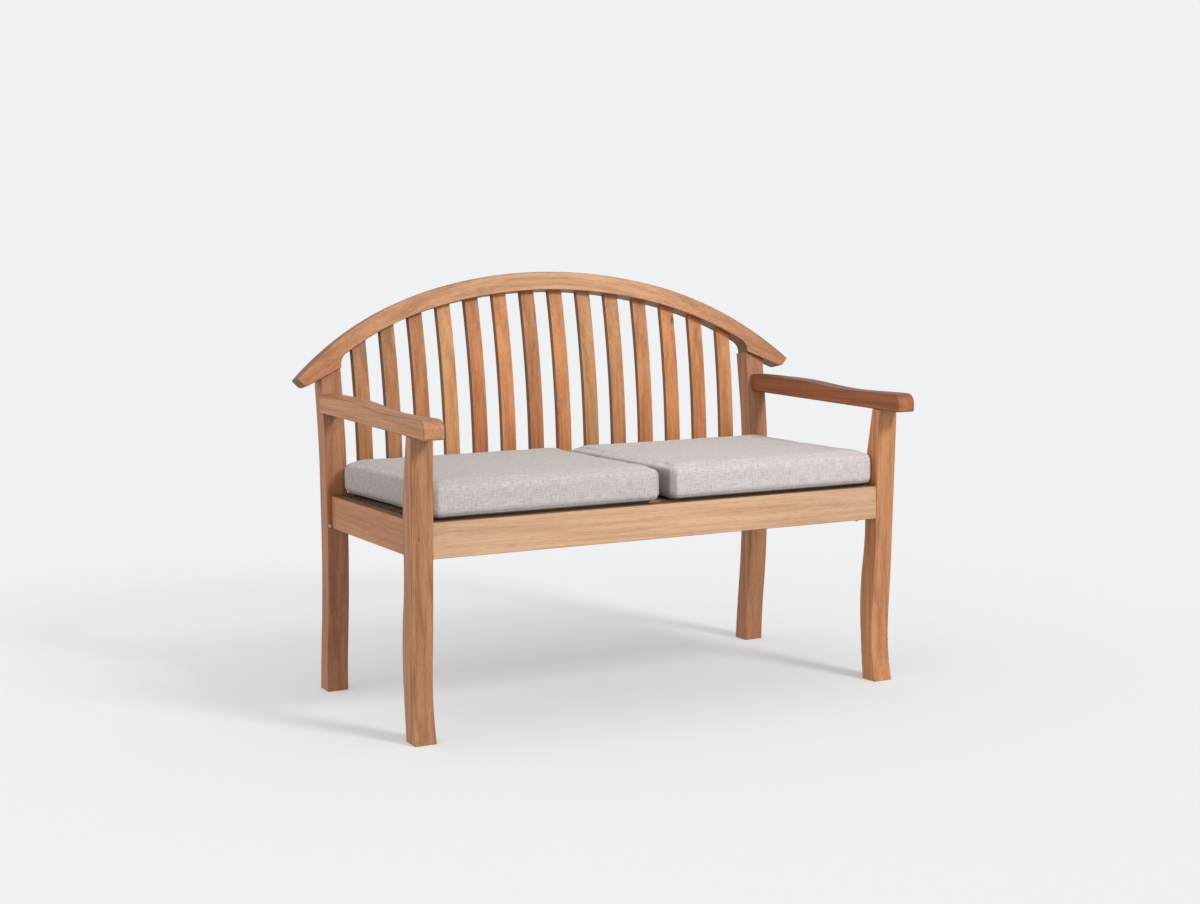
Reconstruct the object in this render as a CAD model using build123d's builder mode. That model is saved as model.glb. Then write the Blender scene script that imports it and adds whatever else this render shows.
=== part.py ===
"""Garden loveseat: an arched, bowed slatted back, curved legs and arms, and two loose seat cushions.

Millimetres, +Z up, and the front faces -Y. The origin is on the floor under the middle of the bench.
Sizes whose names end in back are places behind the front faces of the front legs.
"""
import os
from math import asin, atan, cos, radians, sin, sqrt, tan

from build123d import *

os.makedirs("parts", exist_ok=True)

# Overall
width_over_legs = 1200
back_height = 960
seat_rail_top = 461
seat_rail_height = 76
arm_overhang = 75

# Joints and edges
joint_clearance = 0.2
mortise_end_gap = 1
tenon_root = 12
edge_round = 2
overrun = 90

# Front legs
leg_width = 48.5
leg_depth = 50
leg_joint_back = 48
leg_tenon_width = 22
leg_tenon_depth = 14
leg_tenon_length = 20
# points from the top down: up as shares of the height under the seat, back as shares of the leg's depth
leg_front_shares = [(0.783, 0.18), (0.433, 0.38), (0, 0.12)]
leg_foot_shares = [(0.733, 1.14), (0.391, 1.33), (0, 1.12)]
# at the arm and at the leg's neck, which is up by a share of the height from the seat to the arm
leg_top_front_share = -0.16
leg_top_rear_share = 0.44
leg_neck_height_share = 0.52
leg_neck_rear_share = 0.77

# Rear legs, which run on up as the posts of the back
post_span = 1187
post_width = 49.8
post_depth = 46
post_joint_back = 531
post_foot_depth = 50
post_foot_kick = 29
post_shin_height = 131
post_shin_kick = 18
post_bend_height = 500
post_bend_radius = 970
post_lean = 7.7

# Crest rail, measured in the plane of its leaning face
crest_past_posts = 61.5
crest_before_posts = 10.9
# its arch drops from the middle by shares of the back's height over the seat, with a shoulder part way along
crest_drop_share = 0.482
crest_shoulder_drop_share = 0.08
crest_shoulder_share = 0.458
crest_height = 44
crest_heel_height = 21.9
crest_end_height = 28.3
crest_depth = 45
crest_lean = 9.65
crest_haunch_round = 30
crest_end_round = 10
crest_tip_round = 3
crest_tenon_width = 26
crest_tenon_depth = 18
crest_tenon_length = 20

# Back slats, all bent to one curve
back_bow = 35
slat_count = 14
slat_width = 36.5
slat_thickness = 15
slat_face_back = 543.5
slat_curve_radius = 1850
slat_tenon = 20
slat_foot = 15
slat_edge_round = 1.5

# Seat rails
rail_thickness = 28
rail_setback = 5
rail_tenon_length = 18
rail_tenon_thickness = 9
rail_tenon_height = 50
side_rail_thickness = 24
side_rail_inset = 17.6
side_rail_corner_round = 12
rear_rail_setback = 9

# Lower rail of the back
lower_rail_bottom = 470
lower_rail_height = 38
lower_rail_depth = 32
lower_rail_cover = 11
lower_tenon_height = 22

# Arms
arm_width = 46
arm_under_leg = 638
arm_tilt = 1.2
arm_height = 42
arm_nose_round = 22
arm_chin_round = 5
arm_edge_round = 4
arm_tenon_width = 20
arm_tenon_length = 20
arm_tenon_height = 18
# along the arm from its rear end, and up as shares of its height
arm_top_shares = [(0.2, 1.05), (0.38, 1.03), (0.58, 0.88), (0.76, 0.88), (0.92, 0.96), (1, 0.97)]

# Seat deck
deck_above_rail = 2
deck_slat_count = 8
deck_slat_gap = 9
deck_slat_thickness = 18
deck_end_gap = 2
deck_margin = 1.5
cleat_width = 35
cleat_height = 25
cleat_end_gap = 1
bearer_width = 28
bearer_height = 45
bearer_tenon_length = 10
bearer_tenon_width = 12
bearer_tenon_height = 26

# Corner blocks
block_recess = 2
block_reach = 68

# Hardware
bolt_radius = 3
bolt_bite = 12
bolt_from_side = 22
bolt_from_joint = 12
bolt_end_length = 9
nut_width = 10
nut_height = 6
nut_cap_radius = 4.7
nut_total_height = 13
nut_cap_round = 4
washer_radius = 7
washer_thickness = 1.2
post_screw_radius = 2
post_screw_head_radius = 4
post_screw_head_height = 2.5
post_screw_length = 28
post_screw_rise = 7
seat_screw_radius = 2
seat_screw_head_radius = 4
seat_screw_length = 32

# Cushions
cushion_side_gap = 1.5
cushion_middle_gap = 24
cushion_front_back = 8
cushion_depth = 510
cushion_seat_gap = 0.3
cushion_side_height = 72
cushion_crown = 9
cushion_edge_round = 13
cushion_corner_round = 26
cushion_draw_in = 4
cushion_crown_share = 0.8
cushion_crown_corner_share = 0.7
cushion_roll_steps = 3
cushion_crown_steps = 4

# Places across the bench
half_width = width_over_legs / 2
leg_inner = half_width - leg_width
post_outer = post_span / 2
post_inner = post_outer - post_width
post_middle = post_outer - post_width / 2
arm_inner = half_width - arm_width
arm_middle = half_width - arm_width / 2
side_rail_outer = half_width - side_rail_inset
side_rail_inner = side_rail_outer - side_rail_thickness
side_rail_middle = side_rail_outer - side_rail_thickness / 2
slat_pitch = (2 * post_inner + slat_width) / (slat_count + 1)

# Heights
rail_bottom = seat_rail_top - seat_rail_height
rail_middle = seat_rail_top - seat_rail_height / 2
deck_top = seat_rail_top + deck_above_rail
joint_top = deck_top + edge_round
cleat_top = deck_top - deck_slat_thickness
cleat_bottom = cleat_top - cleat_height
block_bottom = rail_bottom + block_recess
joint_bottom = rail_bottom - edge_round
lower_rail_top = lower_rail_bottom + lower_rail_height
slat_bottom = lower_rail_top - slat_foot

# The bow of the back is one circle, seen from above
bow_radius = (half_width**2 + back_bow**2) / (2 * back_bow)

# The two arcs of the crest's top edge
back_rise = back_height - seat_rail_top
crest_half_length = post_outer + crest_past_posts
crest_drop = crest_drop_share * back_rise
crest_shoulder = crest_shoulder_share * crest_half_length
crest_shoulder_drop = crest_shoulder_drop_share * back_rise
crest_wide_radius = (crest_shoulder**2 + crest_shoulder_drop**2) / (2 * crest_shoulder_drop)
shoulder_fall = asin(crest_shoulder / crest_wide_radius)
tight_reach = crest_half_length - crest_shoulder
tight_drop = crest_drop - crest_shoulder_drop
tight_turn = 2 * (atan(tight_drop / tight_reach) - shoulder_fall)
crest_tight_radius = sqrt(tight_reach**2 + tight_drop**2) / (2 * sin(tight_turn / 2))


def crest_edge(x):
    """Top edge of the crest's face, down from its middle: a wide arc, then a tighter one."""
    if x <= crest_shoulder:
        return sqrt(crest_wide_radius**2 - x**2) - crest_wide_radius
    along = sin(shoulder_fall) + (x - crest_shoulder) / crest_tight_radius
    return -crest_shoulder_drop - crest_tight_radius * (cos(shoulder_fall) - sqrt(1 - along**2))


# The crest's foot on a post falls from its heel, under the arch at the post's inner face, to its end
crest_heel_drop = crest_height + crest_heel_height - crest_edge(post_inner)
crest_foot_fall = (crest_drop + crest_end_height - crest_heel_drop) / (crest_half_length - post_inner)
crest_foot_drop = crest_heel_drop + (post_middle - post_inner) * crest_foot_fall

# A post is upright at the seat, bends back on an arc and then runs straight
lean = radians(crest_lean)
post_slope = tan(radians(post_lean))
bend_rise = post_bend_radius * sin(radians(post_lean))
bend_back = post_bend_radius * (1 - cos(radians(post_lean)))

# The crest's face stands a little before the posts' where it sits on them
crest_bow = bow_radius - sqrt(bow_radius**2 - post_middle**2)
crest_foot_height = back_height - crest_foot_drop * cos(lean) + crest_bow * sin(lean)
post_top_back = post_joint_back + bend_back + (crest_foot_height - post_bend_height - bend_rise) * post_slope
crest_apex_back = post_top_back - crest_before_posts + crest_foot_drop * sin(lean) + crest_bow * cos(lean)

# Places along the bench: zero is half way from the tips of the arms to the back of the crest
leg_face = (arm_overhang - crest_apex_back - crest_depth * cos(lean)) / 2
leg_joint = leg_face + leg_joint_back
post_joint = leg_face + post_joint_back
front_rail_face = leg_face + rail_setback
front_rail_inside = front_rail_face + rail_thickness
front_rail_middle = front_rail_face + rail_thickness / 2
rear_rail_inside = post_joint + rear_rail_setback
rear_rail_middle = rear_rail_inside + rail_thickness / 2
slat_face = leg_face + slat_face_back
lower_rail_face = slat_face - lower_rail_cover
arm_front = leg_face - arm_overhang
post_bend = (post_joint, post_bend_height)
post_straight = (post_joint + bend_back, post_bend_height + bend_rise)

# Rounds of working out where a slat meets the crest, each closer than the last
settling_rounds = 4

# The plane of the crest's face: X along the bench, Y up the face, Z out to the front
crest_apex = (0, leg_face + crest_apex_back, back_height)
crest_plane = Plane(origin=crest_apex, x_dir=(1, 0, 0), z_dir=(0, -cos(lean), sin(lean)))
# The same plane seen from above: Y runs back through the crest, Z up its face
crest_plan = Plane(origin=crest_apex, x_dir=(1, 0, 0), z_dir=(0, sin(lean), cos(lean)))


def bow_at(x):
    """How far the bow sets the back behind its place at the front legs' outer faces."""
    return back_bow - bow_radius + sqrt(bow_radius**2 - x**2)


def arm_under(y):
    """Height of the arms' underside."""
    return arm_under_leg + (y - leg_face) * tan(radians(arm_tilt))


def post_front(z):
    """Front face of a post, where it is straight, from the arm up."""
    return post_straight[0] + (z - post_straight[1]) * post_slope


def arm_shoulder():
    """Where the arm's underside meets the front of the post."""
    y = post_front(arm_under(0)) / (1 - tan(radians(arm_tilt)) * post_slope)
    return (y, arm_under(y))


def crest_foot(x):
    """Where the crest sits on the sloping top of a post, down from its middle."""
    return -crest_foot_drop - (x - post_middle) * crest_foot_fall


def crest_arch(length, drop):
    """Draw the right half of an arch that lies the drop under the crest's top edge."""
    middle = (crest_shoulder + length) / 2
    for start, halfway, end in ((0, crest_shoulder / 2, crest_shoulder), (crest_shoulder, middle, length)):
        ThreePointArc(*[(x, crest_edge(x) - drop) for x in (start, halfway, end)])


def smooth_arcs(start, way, points):
    """Draw arcs from the start through the points, each going on the way the last one ended."""
    for point in points:
        arc = TangentArc(start, point, tangent=way)
        start = point
        way = arc % 1


def way_from(start, end):
    """The direction from one point of an outline to another."""
    return (end[0] - start[0], end[1] - start[1])


def side_plane(x):
    """A plane across the bench: its X runs back and its Y runs up."""
    return Plane(origin=(x, 0, 0), x_dir=(0, 1, 0), z_dir=(1, 0, 0))


def cut_box(place, size):
    """A mortise: a box cut out with the joint clearance all round."""
    with Locations(place):
        Box(*(side + 2 * joint_clearance for side in size), mode=Mode.SUBTRACT)


def crest_joint(x, gap, mode):
    """The tenon between a post and the crest, or with a gap its mortise."""
    length = tenon_root + crest_tenon_length + gap
    middle = (crest_foot(abs(x)) - tenon_root + crest_foot(abs(x)) + crest_tenon_length + gap) / 2
    depth = bow_at(x) - back_bow + crest_depth / 2
    with Locations(crest_plane.location * Location((x, middle, -depth))):
        Box(crest_tenon_width + 2 * gap, length, crest_tenon_depth + 2 * gap, mode=mode)


def save(part, label):
    """Name a finished piece and write it."""
    part.label = label
    export_step(part, f"parts/{label}.step")


def save_pair(part, name):
    """Write a right-hand piece and its mirrored left-hand twin."""
    with BuildPart() as twin:
        mirror(part, about=Plane.YZ)
    save(part, f"{name}_right")
    save(twin.part, f"{name}_left")


# Sizes of the mortises for the rails' tenons
mortise_depth = rail_tenon_length + mortise_end_gap
long_mortise = (mortise_depth, rail_tenon_thickness, rail_tenon_height)
side_mortise = (rail_tenon_thickness, mortise_depth, rail_tenon_height)
lower_mortise = (mortise_depth, rail_tenon_thickness, lower_tenon_height)
lower_tenon_y = lower_rail_face + bow_at(post_inner) + lower_rail_depth / 2
lower_tenon_z = lower_rail_bottom + lower_rail_height / 2

# Front leg
leg_front = [(leg_face + back * leg_depth, up * joint_bottom) for up, back in leg_front_shares]
leg_foot = [(leg_face + back * leg_depth, up * joint_bottom) for up, back in leg_foot_shares]
leg_top_front_y = leg_face + leg_top_front_share * leg_depth
leg_top_rear_y = leg_face + leg_top_rear_share * leg_depth
leg_top_front = (leg_top_front_y, arm_under(leg_top_front_y))
leg_top_rear = (leg_top_rear_y, arm_under(leg_top_rear_y))
leg_neck_z = joint_top + leg_neck_height_share * (arm_under_leg - joint_top)
leg_neck = (leg_face + leg_neck_rear_share * leg_depth, leg_neck_z)
leg_tenon_y = (leg_top_front_y + leg_top_rear_y) / 2

with BuildPart() as front_leg:
    with BuildSketch(side_plane(leg_inner)):
        with BuildLine():
            Line(leg_top_front, leg_front[0])
            smooth_arcs(leg_front[0], way_from(leg_top_front, leg_front[0]), leg_front[1:])
            smooth_arcs((leg_joint, joint_bottom), (0, -1), leg_foot)
            Line((leg_joint, joint_bottom), (leg_joint, joint_top))
            smooth_arcs((leg_joint, joint_top), (0, 1), (leg_neck, leg_top_rear))
            Line(leg_top_front, leg_top_rear)
            Line(leg_foot[-1], leg_front[-1])
        make_face()
    extrude(amount=leg_width)
    fillet(front_leg.faces().filter_by(Axis.X).edges().sort_by(Axis.Z)[:-2], edge_round)
    with Locations((arm_middle, leg_tenon_y, arm_under(leg_tenon_y))):
        Box(leg_tenon_width, leg_tenon_depth, 2 * leg_tenon_length)
    cut_box((leg_inner + mortise_depth / 2, front_rail_middle, rail_middle), long_mortise)
    cut_box((side_rail_middle, leg_joint - mortise_depth / 2, rail_middle), side_mortise)
save_pair(front_leg.part, "front_leg")

# Rear leg and post
toe = (post_joint + post_foot_kick, 0)
heel = (toe[0] + post_foot_depth, 0)
shin = (post_joint + post_shin_kick, post_shin_height)
post_hip = (post_joint, joint_bottom)
blank_top = (post_front(back_height), back_height)


def behind(point):
    """The point on the rear face that lies behind one on the front face."""
    return (point[0] + post_depth, point[1])


arm_rear_under = arm_shoulder()
arm_rear_z = arm_rear_under[1] + arm_height / 2

with BuildPart() as back_post:
    with BuildSketch(side_plane(post_inner)):
        with BuildLine():
            smooth_arcs(post_hip, (0, -1), (shin, toe))
            Line(post_hip, post_bend)
            smooth_arcs(post_bend, (0, 1), [post_straight])
            Line(post_straight, blank_top)
            Line(blank_top, behind(blank_top))
            Line(behind(blank_top), behind(post_straight))
            smooth_arcs(behind(post_bend), (0, 1), [behind(post_straight)])
            Line(behind(post_bend), behind(post_hip))
            smooth_arcs(behind(post_hip), (0, -1), (behind(shin), heel))
            Line(heel, toe)
        make_face()
    extrude(amount=post_width)
    fillet(back_post.faces().filter_by(Axis.X).edges(), edge_round)
    with BuildSketch(crest_plane):
        with BuildLine():
            Polyline(
                (post_inner - overrun, crest_foot(post_inner - overrun)),
                (post_outer + overrun, crest_foot(post_outer + overrun)),
                (post_outer + overrun, overrun),
                (post_inner - overrun, overrun),
                close=True,
            )
        make_face()
    extrude(amount=2 * overrun, both=True, mode=Mode.SUBTRACT)
    crest_joint(post_middle, 0, Mode.ADD)
    cut_box((post_inner + mortise_depth / 2, rear_rail_middle, rail_middle), long_mortise)
    cut_box((side_rail_middle, post_joint + mortise_depth / 2, rail_middle), side_mortise)
    cut_box((post_inner + mortise_depth / 2, lower_tenon_y, lower_tenon_z), lower_mortise)
    arm_mortise = (arm_tenon_width, 2 * (arm_tenon_length + mortise_end_gap), arm_tenon_height)
    cut_box((arm_middle, post_front(arm_rear_z), arm_rear_z), arm_mortise)
    screw_x = (side_rail_outer + post_outer) / 2
    screw_z = rail_bottom + post_screw_rise
    with Locations(Plane.XZ.offset(-post_joint) * Location((screw_x, screw_z, 0))):
        Hole(post_screw_radius + joint_clearance, depth=post_screw_length + mortise_end_gap)
save_pair(back_post.part, "back_post")

# Arm
arm_rear_top = (post_front(arm_rear_under[1] + arm_height), arm_rear_under[1] + arm_height)
arm_length = arm_rear_under[0] - arm_front
arm_top = []
for along, up in arm_top_shares:
    y = arm_rear_under[0] - along * arm_length
    arm_top.append((y, arm_under(y) + up * arm_height))
arm_chin = (arm_front, arm_under(arm_front))

with BuildPart() as arm:
    with BuildSketch(side_plane(arm_inner)) as arm_side:
        with BuildLine():
            Line(arm_rear_under, arm_chin)
            Line(arm_chin, arm_top[-1])
            Spline(arm_rear_top, *arm_top)
            Line(arm_rear_top, arm_rear_under)
        make_face()
        fillet(arm_side.vertices().sort_by_distance((*arm_top[-1], 0))[0], arm_nose_round)
        fillet(arm_side.vertices().sort_by_distance((*arm_chin, 0))[0], arm_chin_round)
    extrude(amount=arm_width)
    fillet(arm.faces().filter_by(Axis.X).edges().sort_by(Axis.Y)[:-2], arm_edge_round)
    with Locations((arm_middle, post_front(arm_rear_z), arm_rear_z)):
        Box(arm_tenon_width, 2 * arm_tenon_length, arm_tenon_height)
    leg_mortise_size = (leg_tenon_width, leg_tenon_depth, 2 * (leg_tenon_length + mortise_end_gap))
    cut_box((arm_middle, leg_tenon_y, arm_under(leg_tenon_y)), leg_mortise_size)
save_pair(arm.part, "arm")

# Front and rear seat rails, with mortises for the centre bearer
bearer_mortise = (bearer_tenon_width, 2 * (bearer_tenon_length + mortise_end_gap), bearer_tenon_height)
bearer_middle = cleat_top - bearer_height / 2


def long_rail(span, middle, inside):
    """A seat rail across the bench, its length between the shoulders being the span."""
    with BuildPart() as rail:
        with Locations((0, middle, rail_middle)):
            Box(span, rail_thickness, seat_rail_height)
        fillet(rail.edges().filter_by(Axis.X), edge_round)
        with Locations((0, middle, rail_middle)):
            Box(span + 2 * rail_tenon_length, rail_tenon_thickness, rail_tenon_height)
        cut_box((0, inside, bearer_middle), bearer_mortise)
    return rail.part


save(long_rail(2 * leg_inner, front_rail_middle, front_rail_inside), "front_seat_rail")
save(long_rail(2 * post_inner, rear_rail_middle, rear_rail_inside), "rear_seat_rail")

# Side rail
side_rail_length = post_joint - leg_joint
side_rail_place = (side_rail_middle, (leg_joint + post_joint) / 2, rail_middle)

with BuildPart() as side_rail:
    with Locations(side_rail_place):
        Box(side_rail_thickness, side_rail_length, seat_rail_height)
    rear_low_edge = side_rail.edges().filter_by(Axis.X).sort_by(Axis.Z)[:2].sort_by(Axis.Y)[-1]
    fillet(rear_low_edge, side_rail_corner_round)
    fillet(side_rail.edges().filter_by(Axis.Y), edge_round)
    with Locations(side_rail_place):
        Box(rail_tenon_thickness, side_rail_length + 2 * rail_tenon_length, rail_tenon_height)
save_pair(side_rail.part, "side_rail")


def slat_turn(x, tenon):
    """How far round its bending circle a slat at x runs, to go the tenon deep into the crest."""
    foot_back = slat_face + bow_at(x) - crest_apex[1]
    edge = back_height + (crest_edge(abs(x)) - crest_height + tenon) / cos(lean)
    rise = 0
    for _ in range(settling_rounds):
        back = foot_back + slat_curve_radius - sqrt(slat_curve_radius**2 - rise**2)
        rise = edge - back * tan(lean) - slat_bottom
    return asin(rise / slat_curve_radius)


def slat_blank(x, play, tenon):
    """A bent slat with square ends, larger at its sides by the play, standing at x."""
    turn = asin(x / bow_radius)
    place = Plane(
        origin=(x, slat_face + bow_at(x), slat_bottom),
        x_dir=(sin(turn), cos(turn), 0),
        z_dir=(cos(turn), -sin(turn), 0),
    )
    top_angle = slat_turn(x, tenon)
    front = slat_curve_radius + play
    rear = slat_curve_radius - slat_thickness - play

    def bent(radius, angle):
        """A point of the slat's side at that radius and angle of the bending circle."""
        return (slat_curve_radius - radius * cos(angle), radius * sin(angle))

    with BuildPart() as blank:
        with BuildSketch(place):
            with BuildLine():
                for radius in (front, rear):
                    ThreePointArc(bent(radius, 0), bent(radius, top_angle / 2), bent(radius, top_angle))
                for angle in (0, top_angle):
                    Line(bent(front, angle), bent(rear, angle))
            make_face()
        extrude(amount=slat_width / 2 + play, both=True)
    return blank.part


# Back slats, and the mortises for both their ends
slat_places = [(step - (slat_count - 1) / 2) * slat_pitch for step in range(slat_count)]
slat_mortises = []
for number, x in enumerate(slat_places, start=1):
    with BuildPart() as back_slat:
        add(slat_blank(x, 0, slat_tenon))
        fillet(back_slat.edges().filter_by(GeomType.CIRCLE), slat_edge_round)
    save(back_slat.part, f"back_slat_{number:02d}")
    slat_mortises.append(slat_blank(x, joint_clearance, slat_tenon + mortise_end_gap))

# Crest rail
crest_low = (post_inner, crest_edge(post_inner) - crest_height)
crest_tip = (crest_half_length, -crest_drop)
end_lean = -tan(shoulder_fall + tight_turn)
# the end is cut square to the top edge, down to the line of the foot
end_cut = (crest_tip[1] - crest_foot(crest_tip[0])) / (1 - end_lean * crest_foot_fall)
crest_end = (crest_tip[0] + end_lean * end_cut, crest_tip[1] - end_cut)
crest_heel = (post_inner, crest_foot(post_inner))
face_way = crest_plane.z_dir
lean_cut = cos(radians(45))

with BuildPart() as crest_rail:
    with BuildSketch(crest_plan.offset(-crest_drop - overrun)):
        side = crest_half_length + overrun
        forward = bow_at(side) - back_bow
        with BuildLine():
            ThreePointArc((-side, forward), (0, 0), (side, forward))
            ThreePointArc((-side, forward + crest_depth), (0, crest_depth), (side, forward + crest_depth))
            Line((-side, forward), (-side, forward + crest_depth))
            Line((side, forward), (side, forward + crest_depth))
        make_face()
    extrude(amount=crest_drop + 2 * overrun)
    with BuildSketch(crest_plane) as crest_face:
        with BuildLine():
            crest_arch(crest_half_length, 0)
            Polyline(crest_tip, crest_end, crest_heel, crest_low)
            crest_arch(post_inner, crest_height)
            Line((0, 0), (0, -crest_height))
        make_face()
        fillet(crest_face.vertices().sort_by_distance((*crest_low, 0))[0], crest_haunch_round)
        fillet(crest_face.vertices().sort_by_distance((*crest_end, 0))[0], crest_end_round)
        fillet(crest_face.vertices().sort_by_distance((*crest_tip, 0))[0], crest_tip_round)
        mirror(about=Plane.YZ)
    extrude(amount=2 * overrun, both=True, mode=Mode.INTERSECT)
    broad_faces = crest_rail.faces().filter_by(lambda face: abs(face.normal_at().dot(face_way)) > lean_cut)
    fillet(broad_faces.edges(), edge_round)
    for mortise in slat_mortises:
        add(mortise, mode=Mode.SUBTRACT)
    for x in (-post_middle, post_middle):
        crest_joint(x, joint_clearance, Mode.SUBTRACT)
save(crest_rail.part, "crest_rail")

# Lower rail of the back, bowed like the crest
with BuildPart() as lower_back_rail:
    with BuildSketch(Plane.XY.offset(lower_rail_bottom)):
        end_y = lower_rail_face + bow_at(post_inner)
        middle_y = lower_rail_face + back_bow
        with BuildLine():
            ThreePointArc((-post_inner, end_y), (0, middle_y), (post_inner, end_y))
            ThreePointArc(
                (-post_inner, end_y + lower_rail_depth),
                (0, middle_y + lower_rail_depth),
                (post_inner, end_y + lower_rail_depth),
            )
            Line((-post_inner, end_y), (-post_inner, end_y + lower_rail_depth))
            Line((post_inner, end_y), (post_inner, end_y + lower_rail_depth))
        make_face()
    extrude(amount=lower_rail_height)
    chamfer(lower_back_rail.edges().filter_by(GeomType.CIRCLE), edge_round)
    for x in (-post_inner, post_inner):
        with Locations((x, lower_tenon_y, lower_tenon_z)):
            Box(2 * rail_tenon_length, rail_tenon_thickness, lower_tenon_height)
    for mortise in slat_mortises:
        add(mortise, mode=Mode.SUBTRACT)
save(lower_back_rail.part, "lower_back_rail")

# Seat deck: slats over two cleats and a centre bearer, each slat held by three screws
deck_front = leg_joint + deck_margin
deck_depth = post_joint - leg_joint - 2 * deck_margin
deck_slat_width = (deck_depth - (deck_slat_count - 1) * deck_slat_gap) / deck_slat_count
deck_pitch = deck_slat_width + deck_slat_gap
deck_slat_length = 2 * (side_rail_inner - deck_end_gap)
deck_slat_middles = [
    deck_front + deck_slat_width / 2 + step * deck_pitch for step in range(deck_slat_count)
]
cleat_middle = side_rail_inner - cleat_width / 2
screw_rows = [-cleat_middle, 0, cleat_middle]
screw_places = [(x, y, deck_top) for x in screw_rows for y in deck_slat_middles]
pilot_depth = seat_screw_length + mortise_end_gap

for number, y in enumerate(deck_slat_middles, start=1):
    with BuildPart() as seat_slat:
        with Locations((0, y, deck_top - deck_slat_thickness / 2)):
            Box(deck_slat_length, deck_slat_width, deck_slat_thickness)
        fillet(seat_slat.edges().filter_by(Axis.X), edge_round)
        with Locations(*[(x, y, deck_top) for x in screw_rows]):
            CounterSinkHole(
                seat_screw_radius + joint_clearance,
                seat_screw_head_radius + joint_clearance,
                deck_slat_thickness,
            )
    save(seat_slat.part, f"seat_slat_{number}")

with BuildPart() as seat_screws:
    head_height = seat_screw_head_radius - seat_screw_radius
    with Locations(*screw_places):
        with Locations((0, 0, -head_height / 2)):
            Cone(seat_screw_radius, seat_screw_head_radius, head_height)
        with Locations((0, 0, -(seat_screw_length + head_height) / 2)):
            Cylinder(seat_screw_radius, seat_screw_length - head_height)
save(seat_screws.part, "seat_screws")

# Cleats on the side rails
bolt_x = side_rail_inner - bolt_from_side
bolt_rows = [leg_joint + bolt_from_joint, post_joint - bolt_from_joint]

with BuildPart() as side_cleat:
    with Locations((cleat_middle, (leg_joint + post_joint) / 2, cleat_top - cleat_height / 2)):
        Box(cleat_width, post_joint - leg_joint - 2 * cleat_end_gap, cleat_height)
    fillet(side_cleat.edges().filter_by(Axis.Y), edge_round)
    with Locations(*[(cleat_middle, y, deck_top) for y in deck_slat_middles]):
        Hole(seat_screw_radius + joint_clearance, depth=pilot_depth)
    with Locations(*[(bolt_x, y, cleat_bottom) for y in bolt_rows]):
        Cylinder(bolt_radius + joint_clearance, 2 * bolt_bite, mode=Mode.SUBTRACT)
save_pair(side_cleat.part, "side_cleat")

# Centre bearer, tenoned into the front and rear rails
with BuildPart() as centre_bearer:
    bearer_y = (front_rail_inside + rear_rail_inside) / 2
    bearer_length = rear_rail_inside - front_rail_inside
    with Locations((0, bearer_y, bearer_middle)):
        Box(bearer_width, bearer_length, bearer_height)
    fillet(centre_bearer.edges().filter_by(Axis.Y), edge_round)
    with Locations((0, bearer_y, bearer_middle)):
        Box(bearer_tenon_width, bearer_length + 2 * bearer_tenon_length, bearer_tenon_height)
    with Locations(*[(0, y, deck_top) for y in deck_slat_middles]):
        Hole(seat_screw_radius + joint_clearance, depth=pilot_depth)
save(centre_bearer.part, "centre_bearer")


# Corner blocks under the cleats
def corner_block(rail_inside, joint, inner, way, bolt_y):
    """A right-hand block in the corner of a leg, a side rail and a long rail."""
    with BuildPart() as block:
        with BuildSketch(Plane.XY.offset(block_bottom)):
            with BuildLine():
                Polyline(
                    (inner, rail_inside),
                    (inner, joint),
                    (side_rail_inner, joint),
                    (side_rail_inner, rail_inside + way * block_reach),
                    (side_rail_inner - block_reach, rail_inside),
                    close=True,
                )
            make_face()
        extrude(amount=cleat_bottom - block_bottom)
        with Locations((bolt_x, bolt_y, cleat_bottom)):
            Hole(bolt_radius + joint_clearance)
    return block.part


save_pair(corner_block(front_rail_inside, leg_joint, leg_inner, 1, bolt_rows[0]), "corner_block_front")
save_pair(corner_block(rear_rail_inside, post_joint, post_inner, -1, bolt_rows[1]), "corner_block_rear")

# Threaded rods up through the blocks into the cleats, with washers and cap nuts
bolt_places = [(x, y, block_bottom) for x in (-bolt_x, bolt_x) for y in bolt_rows]
bolt_drop = washer_thickness + bolt_end_length
bolt_length = cleat_bottom + bolt_bite - block_bottom + bolt_drop

with BuildPart() as corner_bolts:
    with Locations(*bolt_places):
        with Locations((0, 0, bolt_length / 2 - bolt_drop)):
            Cylinder(bolt_radius, bolt_length)
save(corner_bolts.part, "corner_bolts")

with BuildPart() as corner_washers:
    with Locations(*bolt_places):
        with Locations((0, 0, -washer_thickness / 2)):
            Cylinder(washer_radius, washer_thickness)
            Cylinder(bolt_radius + joint_clearance, washer_thickness, mode=Mode.SUBTRACT)
save(corner_washers.part, "corner_washers")

with BuildPart() as corner_nuts:
    with Locations(*bolt_places):
        with Locations((0, 0, -washer_thickness - nut_total_height / 2)):
            Cylinder(nut_cap_radius, nut_total_height)
    fillet(corner_nuts.edges().group_by(Axis.Z)[0], nut_cap_round)
    with BuildSketch(Plane.XY.offset(block_bottom - washer_thickness)):
        with Locations(*[(x, y) for x, y, z in bolt_places]):
            RegularPolygon(nut_width / 2, 6, major_radius=False)
    extrude(amount=-nut_height)
    with Locations(*bolt_places):
        Cylinder(bolt_radius + joint_clearance, 2 * (bolt_drop + mortise_end_gap), mode=Mode.SUBTRACT)
save(corner_nuts.part, "corner_nuts")

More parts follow.
